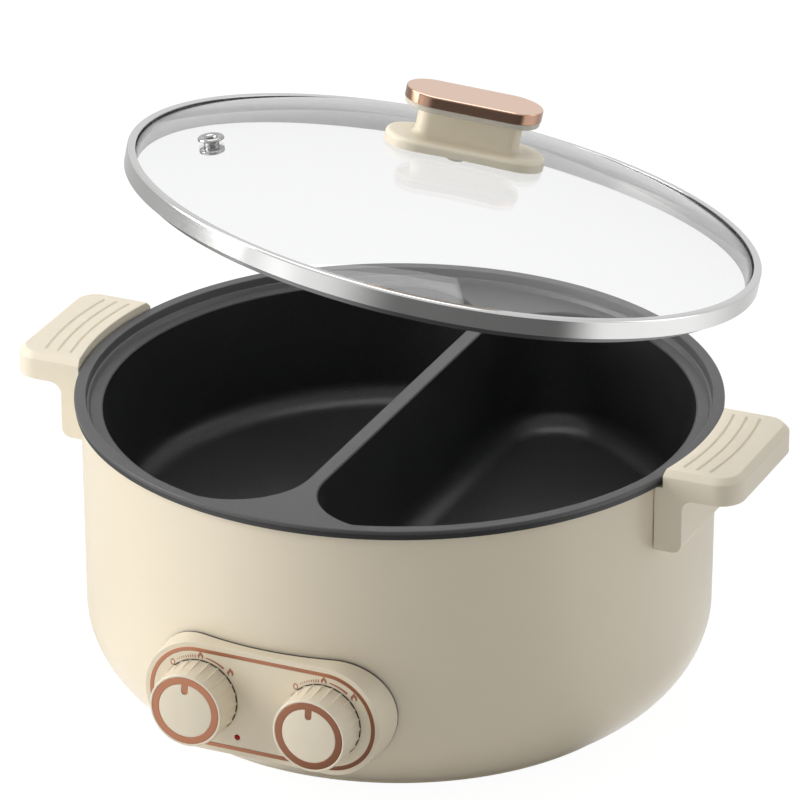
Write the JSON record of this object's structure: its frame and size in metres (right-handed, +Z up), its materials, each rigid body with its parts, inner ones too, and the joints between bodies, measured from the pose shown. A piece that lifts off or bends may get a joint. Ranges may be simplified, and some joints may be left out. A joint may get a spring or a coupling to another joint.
{
  "type": "electric hot pot with lid",
  "caption": "Countertop electric hot pot: divided round cast pot in a rounded shell, side handles, front panel with rotary dials, and a loose domed glass lid shown raised and tilted.",
  "frame": {"origin": "on the pot's axis, on the surface the four feet stand on", "axes": "+Z is up, -Y is the side of the control panel, the handles lie on +X and -X, the power inlet is on +Y"},
  "size_m": [0.387, 0.3549, 0.3109],
  "materials": {
    "shell_cream": "smooth satin moulded cream",
    "base_cream": "fine matt moulded cream, a little darker",
    "panel_cream": "smooth satin moulded cream",
    "fascia_cream": "smooth satin moulded cream",
    "knob_cream": "smooth satin moulded cream",
    "grip_cream": "smooth satin moulded cream, slightly greyer",
    "handle_cream": "smooth satin moulded cream",
    "copper": "polished copper plating",
    "rose_gold": "polished rose-gold plating",
    "rim_steel": "polished rolled stainless steel",
    "steel": "plain zinc-plated steel",
    "reflector": "bright rolled sheet",
    "heater": "dark annealed heater sheath",
    "black_plastic": "black heat-resistant moulding",
    "fuse_white": "white ceramic-like sleeve",
    "pot_coating": "cast aluminium under a dark nonstick coating, satin grey on the lip",
    "rubber": "matt grey silicone rubber",
    "lens_red": "clear dark red lens",
    "glass": "clear tempered glass"
  },
  "bodies": {
    "base": {"outer_shell": "shell_cream", "base_cover": "base_cream", "rubber_feet": "rubber", "pot_bolts": "steel", "stand_tubes": "steel", "heat_reflector": "reflector", "heater_left": "heater", "heater_right": "heater", "limit_thermostats": "black_plastic", "thermal_fuse": "fuse_white", "inner_pot": "pot_coating", "rim_collar": "black_plastic", "panel_housing": "panel_cream", "panel_fascia": "fascia_cream", "panel_trim_ring": "copper", "regulator_left": "black_plastic", "regulator_right": "black_plastic", "regulator_nuts": "steel", "indicator_lens": "lens_red", "indicator_lamp": "lens_red", "handle_left": "handle_cream", "handle_right": "handle_cream", "handle_screws": "steel", "inlet_socket": "black_plastic", "inlet_pins": "steel"},
    "knob_left": {"knob_left": "knob_cream", "knob_ring_left": "copper", "knob_disc_left": "knob_cream", "regulator_shaft_left": "steel"},
    "knob_right": {"knob_right": "knob_cream", "knob_ring_right": "copper", "knob_disc_right": "knob_cream", "regulator_shaft_right": "steel"},
    "lid": {"lid_glass": "glass", "lid_rim": "rim_steel", "steam_vent": "rim_steel", "lid_knob_grip": "knob_cream", "lid_knob_plate": "grip_cream", "lid_knob_cap": "rose_gold", "lid_knob_washer": "rubber", "lid_knob_screw": "steel"}
  },
  "joints": [
    {"name": "knob_left_turn", "type": "hinge", "parent": "base", "child": "knob_left", "pos_m": [-0.0324, -0.17, 0.0546], "axis": [0, 1, 0], "range_deg": [-45, 50]},
    {"name": "knob_right_turn", "type": "hinge", "parent": "base", "child": "knob_right", "pos_m": [0.0324, -0.17, 0.0546], "axis": [0, 1, 0], "range_deg": [-45, 50]},
    {"name": "lid_lift", "type": "hinge", "parent": "base", "child": "lid", "pos_m": [0.25795, 0.30742, 0.09279], "axis": [-0.766, 0.6428, 0], "range_deg": [-12.58, 0]}
  ]
}
